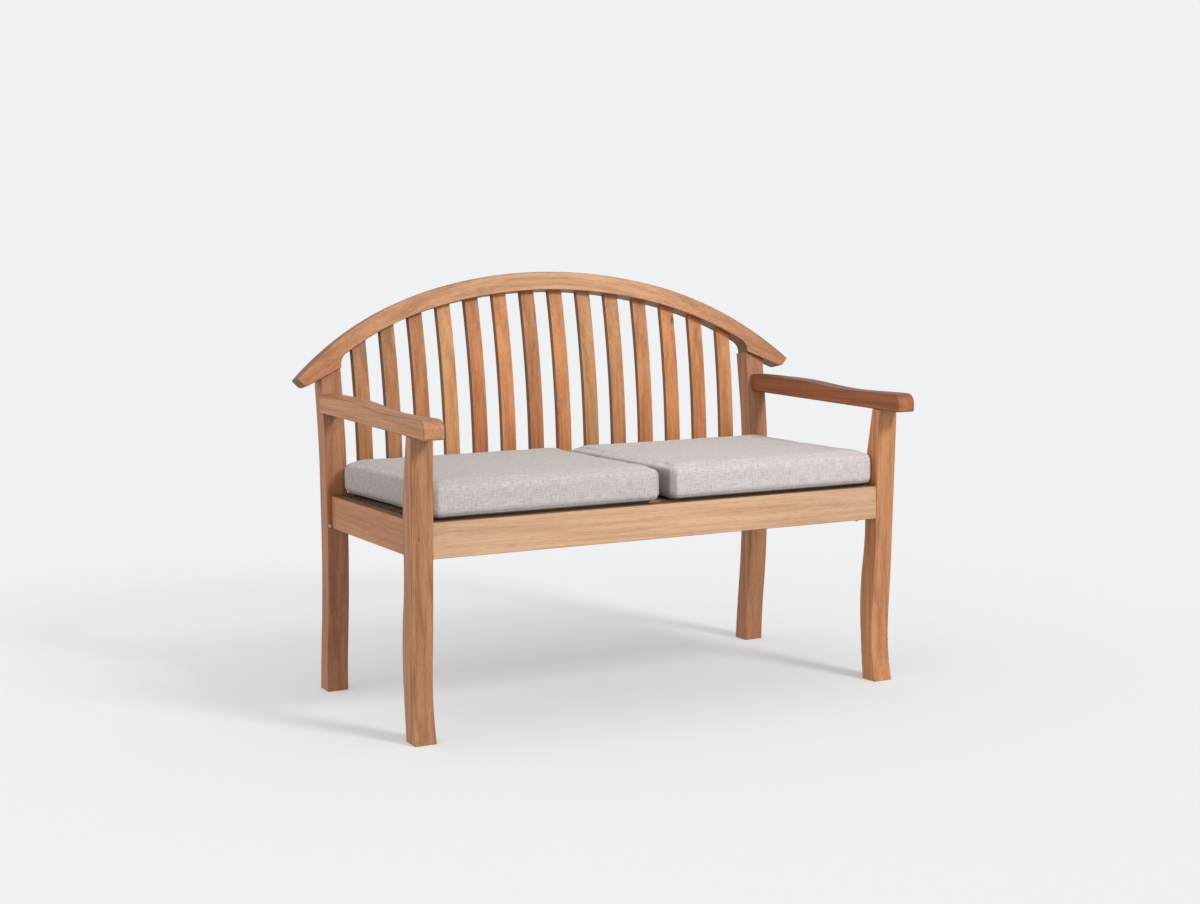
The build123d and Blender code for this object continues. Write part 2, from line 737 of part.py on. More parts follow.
# Screws in the fronts of the rear posts, beside the side rails
with BuildPart() as post_screws:
    with BuildSketch(Plane.XZ.offset(-post_joint)):
        with Locations((-screw_x, screw_z), (screw_x, screw_z)):
            Circle(post_screw_head_radius)
    extrude(amount=post_screw_head_height)
    head_faces = post_screws.faces().filter_by(Axis.Y).group_by(Axis.Y)[0]
    fillet(head_faces.edges(), post_screw_head_height / 2)
    with BuildSketch(Plane.XZ.offset(-post_joint)):
        with Locations((-screw_x, screw_z), (screw_x, screw_z)):
            Circle(post_screw_radius)
    extrude(amount=-post_screw_length)
save(post_screws.part, "post_screws")


# Seat cushions
def cushion_section(inset, rise, corner):
    """A level section: four sides drawn in at their middles, joined by round corners."""
    half_x = cushion_half_x - inset
    half_y = cushion_half_y - inset
    flat_x = half_x - corner
    flat_y = half_y - corner
    draw_x = half_x - cushion_draw_in
    draw_y = half_y - cushion_draw_in
    diagonal = corner * sin(radians(45))
    with BuildSketch(Plane(origin=(*cushion_middle, cushion_bottom + rise))) as section:
        with BuildLine():
            for way in (-1, 1):
                ThreePointArc((-flat_x, way * half_y), (0, way * draw_y), (flat_x, way * half_y))
                ThreePointArc((way * half_x, -flat_y), (way * draw_x, 0), (way * half_x, flat_y))
            for x, y in ((-1, -1), (-1, 1), (1, -1), (1, 1)):
                ThreePointArc(
                    (x * half_x, y * flat_y),
                    (x * (flat_x + diagonal), y * (flat_y + diagonal)),
                    (x * flat_x, y * half_y),
                )
        make_face()
    return section.sketch


cushion_inner = cushion_middle_gap / 2
cushion_outer = leg_inner - cushion_side_gap
cushion_half_x = (cushion_outer - cushion_inner) / 2
cushion_half_y = cushion_depth / 2
cushion_middle = (cushion_inner + cushion_half_x, leg_face + cushion_front_back + cushion_half_y)
cushion_bottom = deck_top + cushion_seat_gap
crown_reach = cushion_half_y * cushion_crown_share

cushion_sections = []
for step in range(cushion_roll_steps + 1):
    angle = radians(90 * step / cushion_roll_steps)
    inset = cushion_edge_round * (1 - sin(angle))
    rise = cushion_edge_round * (1 - cos(angle))
    cushion_sections.append(cushion_section(inset, rise, cushion_corner_round - inset))
for step in range(cushion_roll_steps):
    angle = radians(90 * step / cushion_roll_steps)
    inset = cushion_edge_round * (1 - cos(angle))
    rise = cushion_side_height - cushion_edge_round * (1 - sin(angle))
    cushion_sections.append(cushion_section(inset, rise, cushion_corner_round - inset))
for step in range(cushion_crown_steps + 1):
    share = step / cushion_crown_steps
    inset = cushion_edge_round + crown_reach * share
    rise = cushion_side_height + cushion_crown * (1 - (1 - share) ** 2)
    edge_corner = (cushion_corner_round - cushion_edge_round) * (1 - share)
    top_corner = (cushion_half_y - inset) * cushion_crown_corner_share * share
    cushion_sections.append(cushion_section(inset, rise, edge_corner + top_corner))

with BuildPart() as cushion:
    loft(cushion_sections, ruled=True)
save_pair(cushion.part, "cushion")
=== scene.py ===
"""Garden loveseat: teak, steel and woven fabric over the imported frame, on a pale studio floor.

Metres, +Z up, and the bench's front faces -Y.
"""

import math

import bmesh
import bpy
from mathutils import Matrix, Vector


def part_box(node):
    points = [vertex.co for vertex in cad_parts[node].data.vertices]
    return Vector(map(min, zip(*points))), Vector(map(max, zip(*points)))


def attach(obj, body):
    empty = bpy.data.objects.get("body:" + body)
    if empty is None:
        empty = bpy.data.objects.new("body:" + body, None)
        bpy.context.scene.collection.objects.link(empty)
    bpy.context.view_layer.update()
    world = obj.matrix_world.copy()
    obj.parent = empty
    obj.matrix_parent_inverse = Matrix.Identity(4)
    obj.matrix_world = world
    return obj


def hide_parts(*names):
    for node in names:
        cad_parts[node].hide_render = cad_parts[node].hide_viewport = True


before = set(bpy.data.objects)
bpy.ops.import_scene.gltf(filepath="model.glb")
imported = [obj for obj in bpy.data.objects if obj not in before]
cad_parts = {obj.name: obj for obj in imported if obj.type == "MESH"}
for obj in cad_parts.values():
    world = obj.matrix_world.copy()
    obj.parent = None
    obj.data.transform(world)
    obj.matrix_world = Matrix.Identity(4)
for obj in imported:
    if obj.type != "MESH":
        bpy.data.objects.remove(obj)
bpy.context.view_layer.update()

# Camera, fitted to the bench's outline in the photograph
CAMERA_PLACE = (-1.9676, -3.7384, 0.9971)
CAMERA_YAW = -27.558
CAMERA_PITCH = -6.074
CAMERA_ROLL = -0.647
CAMERA_LENS = 55.353
SENSOR_WIDTH = 36.0

# Studio
KEY_PLACE = (1.71, -4.60, 3.90)
KEY_TARGET = (0.0, 0.0, 0.35)
KEY_SIZE = 1.35
KEY_POWER = 190
BACKDROP = (0.871, 0.880, 0.896)
FLOOR_PAINT = (0.60, 0.604, 0.612)
FLOOR_HALF = 60
# The surround's level, and how much it gains to the right, to the rear and up
AMBIENT = 0.57
AMBIENT_GAIN = (-0.20, -0.12, 0.195)

# Cushions
CUSHION_SWELL = 0.004
CUSHION_CORNER = 0.020
CUSHION_TOP_EDGE = 0.015
CUSHION_BOTTOM_EDGE = 0.013
CUSHION_PULL = 0.0015
CUSHION_FLARE = 0.012
CUSHION_VOXEL = 0.006
CUSHION_PRESSURE = 4.0
CUSHION_FRAMES = 20
CUSHION_CAP = 0.008
SEAM_DEPTH = 0.0016
SEAM_WIDTH = 0.0035
SEAM_RISE = 0.011
# How far out from the middle a point has to be to count as on the rim, as a share
RIM_SHARE = 0.93
# The upright seam's place in from a cushion's corner and its reach, as shares of the corner's round
CORNER_SEAM_SHARE = 0.45
CORNER_REACH_SHARE = 0.2

# Cloth. It lies as on a side or a front where more than this of the normal points along X or Y
YARN_PITCH = 0.0017
SIDE_TURN = 0.66
SEAM_TONE = 0.72
# Painted shade, set to follow the photograph: the cloth near the deck, and on the inner sides
UNDERSIDE_TONE = 0.10
UNDERSIDE_HEIGHTS = (0.003, 0.008)
INNER_TONE = 0.6
# Painted light: the right cushion is made lighter than the left one, for the key's light that falls off
# towards the left
# The photograph shows the right cushion lighter
LEFT_CUSHION_TONE = 0.98
RIGHT_CUSHION_TONE = 1.06

# Teak
PORE_DEPTH = 0.30
EASED_DEPTH = 0.55
KNOT_DEPTH = 0.7
# A search chose the back slats' seed, so that their tones come near those in the photograph
BACK_SLAT_SEED = 32128
# Light and dark tones of the pieces that the photograph hides, or nearly so
HIDDEN_RAIL_TONES = ((0.60, 0.32, 0.16), (0.40, 0.19, 0.085))
HIDDEN_TONES = ((0.50, 0.27, 0.145), (0.34, 0.165, 0.085))


def new_material(name):
    """A material with its node tree, and its main shader."""
    material = bpy.data.materials.new(name)
    material.use_nodes = True
    tree = material.node_tree
    return material, tree, tree.nodes["Principled BSDF"]


def node(tree, kind, inputs=None, **settings):
    """Add a shader node. An input is a value, or another node's output, which gets linked."""
    made = tree.nodes.new(kind)
    for key, value in settings.items():
        setattr(made, key, value)
    for key, value in (inputs or {}).items():
        if isinstance(value, bpy.types.NodeSocket):
            tree.links.new(value, made.inputs[key])
        else:
            made.inputs[key].default_value = value
    return made


def maths(tree, operation, *values):
    """The result of one Math node."""
    return node(tree, "ShaderNodeMath", dict(enumerate(values)), operation=operation).outputs[0]


def blend(tree, share, low, high):
    """A value between low and high."""
    inputs = {0: share, 2: low, 3: high}
    return node(tree, "ShaderNodeMix", inputs, data_type="FLOAT").outputs[0]


def tint(tree, share, low, high, way="MIX"):
    """A colour between low and high, or low treated by high the given way."""
    made = node(tree, "ShaderNodeMix", data_type="RGBA", blend_type=way)
    for key, value in (("Factor_Float", share), ("A_Color", low), ("B_Color", high)):
        socket = next(entry for entry in made.inputs if entry.identifier == key)
        if isinstance(value, bpy.types.NodeSocket):
            tree.links.new(value, socket)
        else:
            socket.default_value = value
    return next(entry for entry in made.outputs if entry.identifier == "Result_Color")


def ramp(tree, share, stops):
    """A colour ramp through (place, colour) stops."""
    made = node(tree, "ShaderNodeValToRGB", {0: share})
    points = made.color_ramp.elements
    while len(points) < len(stops):
        points.new(0.5)
    for point, (place, colour) in zip(points, stops):
        point.position = place
        point.color = (*colour, 1)
    return made.outputs[0]


def noise(tree, place, scale, detail, roughness=0.5):
    """A noise value about 0.5."""
    inputs = {"Vector": place, "Scale": scale, "Detail": detail, "Roughness": roughness}
    return node(tree, "ShaderNodeTexNoise", inputs).outputs[0]


def graded(tree, value, start, end, first=0.0, last=1.0):
    """A level that goes from first to last while a value goes from start to end."""
    inputs = {0: value, 1: start, 2: end, 3: first, 4: last}
    return node(tree, "ShaderNodeMapRange", inputs).outputs[0]


def less(tree, share, depth):
    """What is left of one when a share of a depth is taken off."""
    return maths(tree, "SUBTRACT", 1.0, maths(tree, "MULTIPLY", share, depth))


def vector_maths(tree, operation, *values):
    """One Vector Math node."""
    return node(tree, "ShaderNodeVectorMath", dict(enumerate(values)), operation=operation).outputs


def vector(tree, x, y, z):
    """A vector from three values."""
    return node(tree, "ShaderNodeCombineXYZ", {0: x, 1: y, 2: z}).outputs[0]


def spot(tree, place, middle, size):
    """A soft upright spot of a size about a place, one in its middle and zero outside."""
    off = vector_maths(tree, "SUBTRACT", place, middle)[0]
    scaled = vector_maths(tree, "MULTIPLY", off, (1.0, 1.0, 0.45))[0]
    far = vector_maths(tree, "LENGTH", scaled)[1]
    return graded(tree, far, size * 0.35, size, 1.0, 0.0)


def teak(
    name, grain, light, dark, seed, row=None, spread=0.08,
    arch=0.0, bend="", faces=None, ends=None, knots=(),
):
    """Oiled teak with its grain along an axis. The seed picks its figure.

    A row is the axis along which boards follow each other, where it starts and its pitch. Each of its
    boards has its own figure and tone. The arch bends the grain down from the middle. Bend names the axis
    that the piece curves about, so that its curved faces aren't taken for eased edges.

    Faces and ends are painted light and shade, set to follow the photograph. Faces are the tones of the
    faces that look along X, Y and Z. Ends is what the colour is multiplied by out at the bench's two
    ends, and how far from the middle that starts and is full.
    """
    material, tree, shader = new_material(name)
    coordinates = node(tree, "ShaderNodeTexCoord").outputs
    place = coordinates["Object"]
    x, y, z = node(tree, "ShaderNodeSeparateXYZ", {0: place}).outputs
    if arch:
        z = maths(tree, "ADD", z, maths(tree, "MULTIPLY", maths(tree, "MULTIPLY", x, x), arch))
    along, across, through = {"X": (x, y, z), "Y": (y, x, z), "Z": (z, x, y)}[grain]
    axis, start, pitch = row or ("X", -9.0, 18.0)
    offset = maths(tree, "SUBTRACT", {"X": x, "Y": y, "Z": z}[axis], start)
    number = maths(tree, "FLOOR", maths(tree, "DIVIDE", offset, pitch))
    drawn = {"W": maths(tree, "ADD", number, seed)}
    chance = node(tree, "ShaderNodeTexWhiteNoise", drawn, noise_dimensions="1D")
    own = maths(tree, "MULTIPLY", chance.outputs[0], 9.0)
    tone = maths(tree, "SUBTRACT", chance.outputs[0], 0.5)
    warmth = node(tree, "ShaderNodeSeparateXYZ", {0: chance.outputs[1]}).outputs[1]

    def drawn_out(share, scale, detail, roughness=0.5):
        """Noise that is drawn out along the grain, which sways a little."""
        at = vector(tree, maths(tree, "MULTIPLY", along, share), maths(tree, "ADD", swayed, own), through)
        return noise(tree, at, scale, detail, roughness)

    slow = vector(tree, maths(tree, "MULTIPLY", along, 0.5), maths(tree, "ADD", across, own), through)
    sway = maths(tree, "SUBTRACT", noise(tree, slow, 5.0, 1.0), 0.5)
    swayed = maths(tree, "ADD", across, maths(tree, "MULTIPLY", sway, 0.02))
    streaks = drawn_out(0.011, 400.0, 3.0, 0.62)
    bands = drawn_out(0.02, 80.0, 2.0)
    pores = graded(tree, drawn_out(0.04, 1100.0, 1.0), 0.58, 0.72)
    # the growth rings, met at a slant, make long arches
    rings = maths(tree, "ADD", maths(tree, "MULTIPLY", drawn_out(0.07, 8.0, 1.0), 9.0),
                  maths(tree, "MULTIPLY", through, 30.0))
    rings = maths(tree, "POWER", maths(tree, "PINGPONG", rings, 0.5), 2.0)

    figure = maths(tree, "ADD", maths(tree, "MULTIPLY", streaks, 0.62),
                   maths(tree, "MULTIPLY", bands, 0.55))
    figure = maths(tree, "SUBTRACT", figure, maths(tree, "MULTIPLY", rings, 0.42))
    middle = tuple((a + b) / 2 for a, b in zip(light, dark))
    colour = ramp(tree, figure, [(0.385, dark), (0.53, middle), (0.665, light)])
    hue = ramp(tree, warmth, [(0.0, (1.06, 0.93, 0.82)), (0.5, (1, 1, 1)), (1.0, (0.97, 1.05, 1.06))])
    colour = tint(tree, 1.0, colour, hue, "MULTIPLY")

    # eased edges and pores are darker
    turned = node(tree, "ShaderNodeSeparateXYZ", {0: coordinates["Normal"]}).outputs
    facing = [maths(tree, "ABSOLUTE", value) for value in turned]
    flat = maths(tree, "MAXIMUM", maths(tree, "MAXIMUM", facing[0], facing[1]), facing[2])
    if bend:
        about = facing["XYZ".index(bend)]
        rest = maths(tree, "SQRT", maths(tree, "MAXIMUM", less(tree, about, about), 0.0))
        flat = maths(tree, "MAXIMUM", about, rest)
    eased = graded(tree, flat, 0.98, 0.80)
    eased = maths(tree, "MULTIPLY", eased, drawn_out(0.15, 60.0, 2.0))
    patches = maths(tree, "SUBTRACT", drawn_out(0.3, 6.0, 1.0), 0.5)
    tone = maths(tree, "ADD", maths(tree, "MULTIPLY", tone, spread * 2),
                 maths(tree, "MULTIPLY", patches, 0.4))
    level = maths(tree, "ADD", 1.0, tone)
    level = maths(tree, "MULTIPLY", level, less(tree, pores, PORE_DEPTH))
    level = maths(tree, "MULTIPLY", level, less(tree, eased, EASED_DEPTH))
    # painted light and shade, by the way a face looks
    if faces:
        shares = vector(tree, *(maths(tree, "MULTIPLY", value, value) for value in turned))
        level = maths(tree, "MULTIPLY", level, vector_maths(tree, "DOT_PRODUCT", shares, faces)[1])
    for knot_middle, size in knots:
        dark_knot = spot(tree, place, knot_middle, size)
        level = maths(tree, "MULTIPLY", level, less(tree, dark_knot, KNOT_DEPTH))
    colour = tint(tree, 1.0, colour, vector(tree, level, level, level), "MULTIPLY")
    # painted shade out at the bench's two ends
    if ends:
        end_shade, near, far = ends
        share = graded(tree, maths(tree, "ABSOLUTE", x), near, far)
        colour = tint(tree, share, colour, (*end_shade, 1), "MULTIPLY")
    tree.links.new(colour, shader.inputs["Base Color"])

    tree.links.new(blend(tree, streaks, 0.60, 0.42), shader.inputs["Roughness"])
    relief = maths(tree, "SUBTRACT", maths(tree, "MULTIPLY", streaks, 0.6),
                   maths(tree, "MULTIPLY", pores, 0.5))
    bump = node(tree, "ShaderNodeBump", {"Height": relief, "Strength": 0.22, "Distance": 0.0006})
    tree.links.new(bump.outputs[0], shader.inputs["Normal"])
    shader.inputs["Specular IOR Level"].default_value = 0.35
    return material


def satin_steel():
    """Satin steel with fine marks."""
    material, tree, shader = new_material("satin_steel")
    place = node(tree, "ShaderNodeTexCoord").outputs["Object"]
    marks = noise(tree, place, 1400.0, 2.0)
    colour = ramp(tree, marks, [(0.3, (0.52, 0.51, 0.49)), (0.7, (0.68, 0.67, 0.65))])
    tree.links.new(colour, shader.inputs["Base Color"])
    tree.links.new(blend(tree, marks, 0.24, 0.40), shader.inputs["Roughness"])
    shader.inputs["Metallic"].default_value = 1.0
    return material


def heathered_weave(name, low, high, tone, inward):
    """Plain weave of mixed pale and dark yarns, laid flat on each face of a cushion.

    Inward is the way along X to the other cushion. The side that looks that way gets painted shade, as
    does the cloth near the deck, for the shadow in the gap between the cushions and under their bottom
    edge.
    """
    middle = (low + high) / 2
    material, tree, shader = new_material(name)
    coordinates = node(tree, "ShaderNodeTexCoord").outputs
    x, y, z = node(tree, "ShaderNodeSeparateXYZ", {0: coordinates["Object"]}).outputs
    turned = node(tree, "ShaderNodeSeparateXYZ", {0: coordinates["Normal"]}).outputs
    on_side = maths(tree, "GREATER_THAN", maths(tree, "ABSOLUTE", turned[0]), SIDE_TURN)
    on_front = maths(tree, "GREATER_THAN", maths(tree, "ABSOLUTE", turned[1]), SIDE_TURN)
    a = blend(tree, on_side, maths(tree, "SUBTRACT", x, middle.x), z)
    b = blend(tree, on_front, maths(tree, "SUBTRACT", y, middle.y), z)

    # yarns wander a little, so the rows aren't ruled
    sway = maths(tree, "SUBTRACT", noise(tree, vector(tree, a, b, 0.0), 22.0, 2.0), 0.5)
    sway = maths(tree, "MULTIPLY", sway, 0.004)
    a = maths(tree, "ADD", a, sway)
    b = maths(tree, "ADD", b, sway)
    weft = noise(tree, vector(tree, maths(tree, "MULTIPLY", a, 0.10), b, 0.0), 500.0, 3.0, 0.6)
    warp = noise(tree, vector(tree, a, maths(tree, "MULTIPLY", b, 0.10), 3.0), 500.0, 3.0, 0.6)
    flecks = noise(tree, vector(tree, a, b, 7.0), 900.0, 1.0)
    heather = noise(tree, vector(tree, a, b, 11.0), 35.0, 2.0)
    turns = 2 * math.pi / YARN_PITCH
    rows = maths(tree, "MULTIPLY", maths(tree, "SINE", maths(tree, "MULTIPLY", a, turns)),
                 maths(tree, "SINE", maths(tree, "MULTIPLY", b, turns)))

    mix = maths(tree, "ADD", maths(tree, "MULTIPLY", weft, 0.44), maths(tree, "MULTIPLY", warp, 0.44))
    mix = maths(tree, "ADD", mix, maths(tree, "MULTIPLY", flecks, 0.08))
    mix = maths(tree, "ADD", mix, maths(tree, "MULTIPLY", heather, 0.03))
    mix = maths(tree, "ADD", mix, maths(tree, "MULTIPLY", rows, 0.03))
    yarns = [
        (0.34, (0.36, 0.315, 0.30)),
        (0.505, (0.56, 0.515, 0.50)),
        (0.67, (0.73, 0.69, 0.675)),
    ]
    colour = ramp(tree, mix, yarns)
    # the line of the seam along the bottom, and painted shade on the cloth near the deck and on the inner
    # side
    off_seam = maths(tree, "ABSOLUTE", maths(tree, "SUBTRACT", z, low.z + SEAM_RISE))
    seam = graded(tree, off_seam, 0.0006, 0.0018, SEAM_TONE, 1.0)
    dark_to, pale_from = (low.z + height for height in UNDERSIDE_HEIGHTS)
    under = graded(tree, z, dark_to, pale_from, UNDERSIDE_TONE, 1.0)
    inner = graded(tree, maths(tree, "MULTIPLY", turned[0], inward), 0.4, 0.9, tone, tone * INNER_TONE)
    level = maths(tree, "MULTIPLY", maths(tree, "MULTIPLY", seam, under), inner)
    colour = tint(tree, 1.0, colour, vector(tree, level, level, level), "MULTIPLY")
    tree.links.new(colour, shader.inputs["Base Color"])
    shader.inputs["Roughness"].default_value = 0.93
    shader.inputs["Specular IOR Level"].default_value = 0.15
    shader.inputs["Sheen Weight"].default_value = 0.25
    shader.inputs["Sheen Roughness"].default_value = 0.5
    relief = maths(tree, "ADD", mix, maths(tree, "MULTIPLY", rows, 0.12))
    bump = node(tree, "ShaderNodeBump", {"Height": relief, "Strength": 0.5, "Distance": 0.0011})
    tree.links.new(bump.outputs[0], shader.inputs["Normal"])
    return material


def dress(nodes, material):
    """Give CAD nodes a material."""
    for name in nodes:
        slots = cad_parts[name].material_slots
        for entry in slots:
            entry.material = material


def pair(name):
    """The left and right nodes of a name."""
    return [f"{name}_left", f"{name}_right"]


def cushion_block(name, low, high):
    """A soft-cornered block, a little smaller than the cushion, that will swell to its size."""
    bm = bmesh.new()
    bmesh.ops.create_cube(bm, size=1.0)
    size = high - low
    start = Vector([side - 2 * CUSHION_SWELL for side in size])
    bmesh.ops.scale(bm, vec=start, verts=bm.verts)
    bmesh.ops.translate(bm, vec=(low + high) / 2, verts=bm.verts)
    upright = [edge for edge in bm.edges if abs(edge.verts[0].co.z - edge.verts[1].co.z) > start.z / 2]
    bmesh.ops.bevel(
        bm, geom=upright, offset=CUSHION_CORNER, offset_type="OFFSET", segments=5, profile=0.5,
        affect="EDGES", material=-1,
    )
    for side, offset in ((1, CUSHION_TOP_EDGE), (-1, CUSHION_BOTTOM_EDGE)):
        rim = [
            edge for edge in bm.edges
            if sorted(round(face.normal.z * side) for face in edge.link_faces) == [0, 1]
        ]
        bmesh.ops.bevel(
            bm, geom=rim, offset=offset, offset_type="OFFSET", segments=4, profile=0.5,
            affect="EDGES", material=-1,
        )
    mesh = bpy.data.meshes.new(name)
    bm.to_mesh(mesh)
    bm.free()
    piece = bpy.data.objects.new(name, mesh)
    bpy.context.scene.collection.objects.link(piece)
    return piece


def apply_modifiers(piece):
    """Turn a piece with its modifiers into a plain mesh."""
    graph = bpy.context.evaluated_depsgraph_get()
    mesh = bpy.data.meshes.new_from_object(piece.evaluated_get(graph))
    piece.modifiers.clear()
    old = piece.data
    piece.data = mesh
    bpy.data.meshes.remove(old)


def inflate(piece):
    """Remesh a cushion evenly and blow it up like stuffed cloth, with a cap on how far a point moves."""
    remesh = piece.modifiers.new("even", "REMESH")
    remesh.mode = "VOXEL"
    remesh.voxel_size = CUSHION_VOXEL
    remesh.use_smooth_shade = True
    apply_modifiers(piece)
    start = [(vertex.co.copy(), vertex.normal.copy()) for vertex in piece.data.vertices]
    cloth = piece.modifiers.new("stuffing", "CLOTH")
    cloth.settings.use_pressure = True
    cloth.settings.uniform_pressure_force = CUSHION_PRESSURE
    cloth.settings.effector_weights.gravity = 0
    cloth.settings.quality = 4
    cloth.settings.tension_stiffness = 30
    cloth.settings.compression_stiffness = 30
    cloth.settings.bending_stiffness = 2
    cloth.collision_settings.use_collision = False
    scene = bpy.context.scene
    cloth.point_cache.frame_start = 1
    cloth.point_cache.frame_end = CUSHION_FRAMES
    for step in range(1, CUSHION_FRAMES + 1):
        scene.frame_set(step)
    apply_modifiers(piece)
    scene.frame_set(1)
    for vertex, (rest, outward) in zip(piece.data.vertices, start):
        move = vertex.co - rest
        if move.length > CUSHION_CAP:
            move = move.normalized() * CUSHION_CAP
        # the stuffing holds the corners out, so hardly a point is drawn in
        drawn_in = -move.dot(outward) - CUSHION_PULL
        vertex.co = rest + move + outward * max(drawn_in, 0)


def fit_box(piece, low, high):
    """Stretch a piece to fill a box from side to side, from front to rear and up to its top."""
    for axis in range(3):
        values = [vertex.co[axis] for vertex in piece.data.vertices]
        least = low.z if axis == 2 else min(values)
        size = max(values) - least
        for vertex in piece.data.vertices:
            share = (vertex.co[axis] - least) / size
            vertex.co[axis] = low[axis] + share * (high[axis] - low[axis])


def finish_cushion(piece, low, high):
    """Smooth the blown-up form, fit it to its box, press in its seams and bulge its outer side."""
    smooth = piece.modifiers.new("finer", "SUBSURF")
    smooth.levels = 1
    smooth.render_levels = 1
    apply_modifiers(piece)
    fit_box(piece, low, high)
    middle = (low + high) / 2
    inset = CUSHION_CORNER * CORNER_SEAM_SHARE
    corner = Vector((high.x - middle.x - inset, high.y - middle.y - inset))
    floor = low.z
    for vertex in piece.data.vertices:
        place = vertex.co
        place.z = max(place.z, floor)
        out = Vector((place.x - middle.x, place.y - middle.y, 0))
        rim = max(abs(out.x) / (high.x - middle.x), abs(out.y) / (high.y - middle.y))
        if rim < RIM_SHARE:
            continue
        low_seam = abs(place.z - floor - SEAM_RISE)
        upright = math.hypot(abs(out.x) - corner.x, abs(out.y) - corner.y)
        upright -= CUSHION_CORNER * CORNER_REACH_SHARE
        near = min(low_seam, max(upright, 0))
        press = SEAM_DEPTH * math.exp(-((near / SEAM_WIDTH) ** 2))
        vertex.co = place - out.normalized() * press
    outer = math.copysign(1, middle.x)
    for vertex in piece.data.vertices:
        # the outer side bulges out towards the rear
        aside = max((vertex.co.x - middle.x) * outer / (high.x - middle.x), 0)
        back = max((vertex.co.y - middle.y) / (high.y - middle.y), 0)
        vertex.co.x += outer * CUSHION_FLARE * aside**2 * back
    for polygon in piece.data.polygons:
        polygon.use_smooth = True


def make_cushion(side, tone, inward):
    """One seat cushion, in place of its CAD solid."""
    solid = f"cushion_{side}"
    low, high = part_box(solid)
    piece = cushion_block(f"seat_cushion_{side}", low, high)
    inflate(piece)
    finish_cushion(piece, low, high)
    piece.data.materials.clear()
    piece.data.materials.append(heathered_weave(f"weave_{side}", low, high, tone, inward))
    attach(piece, solid)
    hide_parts(solid)


def dress_frame():
    """Teak and steel on the CAD nodes."""
    slats = [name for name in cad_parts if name.startswith("back_slat_")]
    deck = [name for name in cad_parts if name.startswith("seat_slat_")]
    slat_first, slat_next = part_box("back_slat_01"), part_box("back_slat_02")
    slat_pitch = (slat_next[0].x + slat_next[1].x - slat_first[0].x - slat_first[1].x) / 2
    deck_first, deck_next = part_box("seat_slat_1"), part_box("seat_slat_2")
    deck_pitch = deck_next[0].y - deck_first[0].y
    slat_row = ("X", -7 * slat_pitch, slat_pitch)
    deck_row = ("Y", deck_first[0].y - 0.003, deck_pitch)
    halves = ("X", -1.0, 1.0)
    slat_knot = Vector((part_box("back_slat_12")[1].x - 0.006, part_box("back_slat_12")[0].y + 0.03, 0.835))
    leg_knot = Vector((-0.583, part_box("front_leg_left")[0].y + 0.008, 0.43))
    # each with its light and dark tone, set to follow the photograph piece by piece where it shows
    dress(slats, teak(
        "slat_teak", "Z", (0.563, 0.257, 0.104), (0.359, 0.142, 0.049), BACK_SLAT_SEED, slat_row, 0.20,
        bend="X", faces=(0.45, 1.0, 1.0), knots=[(slat_knot, 0.008)],
    ))
    dress(deck, teak(
        "deck_teak", "X", (0.46, 0.27, 0.16), (0.27, 0.15, 0.085), 5, deck_row, 0.16,
        faces=(0.8, 0.8, 0.85), ends=((0.30, 0.30, 0.32), 0.52, 0.56),
    ))
    dress(["crest_rail"], teak(
        "crest_teak", "X", (0.657, 0.385, 0.215), (0.445, 0.226, 0.107), 11,
        arch=0.55, bend="Y", faces=(0.5, 1.0, 0.5), ends=((0.77, 0.60, 0.46), 0.15, 0.62),
    ))
    dress(["front_seat_rail"], teak(
        "front_rail_teak", "X", (0.694, 0.481, 0.322), (0.529, 0.330, 0.204), 23,
        faces=(1.0, 1.0, 0.35), ends=((0.87, 0.87, 0.87), 0.15, 0.62),
    ))
    dress(["rear_seat_rail"], teak("rear_rail_teak", "X", *HIDDEN_RAIL_TONES, 31))
    dress(["lower_back_rail"], teak("lower_rail_teak", "X", *HIDDEN_RAIL_TONES, 33, bend="Z"))
    dress(["front_leg_left"], teak(
        "left_leg_teak", "Z", (0.445, 0.22, 0.105), (0.287, 0.125, 0.055), 37, halves,
        bend="X", faces=(1.24, 1.0, 1.0), knots=[(leg_knot, 0.004)],
    ))
    # painted light: the right front leg's tones are lighter than the left leg's, for how the light falls on
    # the two legs
    dress(["front_leg_right"], teak(
        "right_leg_teak", "Z", (0.665, 0.317, 0.139), (0.426, 0.179, 0.072), 37, halves,
        bend="X", faces=(1.24, 1.0, 1.0),
    ))
    dress(pair("back_post"), teak(
        "back_post_teak", "Z", (0.503, 0.217, 0.105), (0.325, 0.127, 0.056), 41, halves,
        bend="X", faces=(1.32, 1.0, 1.0),
    ))
    dress(["arm_left"], teak(
        "left_arm_teak", "Y", (0.655, 0.345, 0.175), (0.415, 0.193, 0.09), 43,
        bend="X", faces=(1.0, 0.85, 0.65),
    ))
    # painted shade: the right arm's tones are much darker than the left arm's, for the shade that falls on
    # it
    dress(["arm_right"], teak(
        "right_arm_teak", "Y", (0.447, 0.153, 0.056), (0.285, 0.089, 0.031), 44,
        bend="X", faces=(1.0, 0.95, 0.42),
    ))
    dress(pair("side_rail"), teak(
        "side_rail_teak", "Y", (0.67, 0.32, 0.14), (0.45, 0.195, 0.08), 47, halves,
        faces=(1.0, 1.0, 0.4),
    ))
    battens = pair("side_cleat") + ["centre_bearer"]
    dress(battens, teak("hidden_teak", "Y", *HIDDEN_TONES, 53, halves))
    blocks = pair("corner_block_front") + pair("corner_block_rear")
    dress(blocks, teak("block_teak", "X", *HIDDEN_TONES, 59, halves))
    steel = satin_steel()
    dress(["corner_bolts", "corner_nuts", "corner_washers", "post_screws", "seat_screws"], steel)


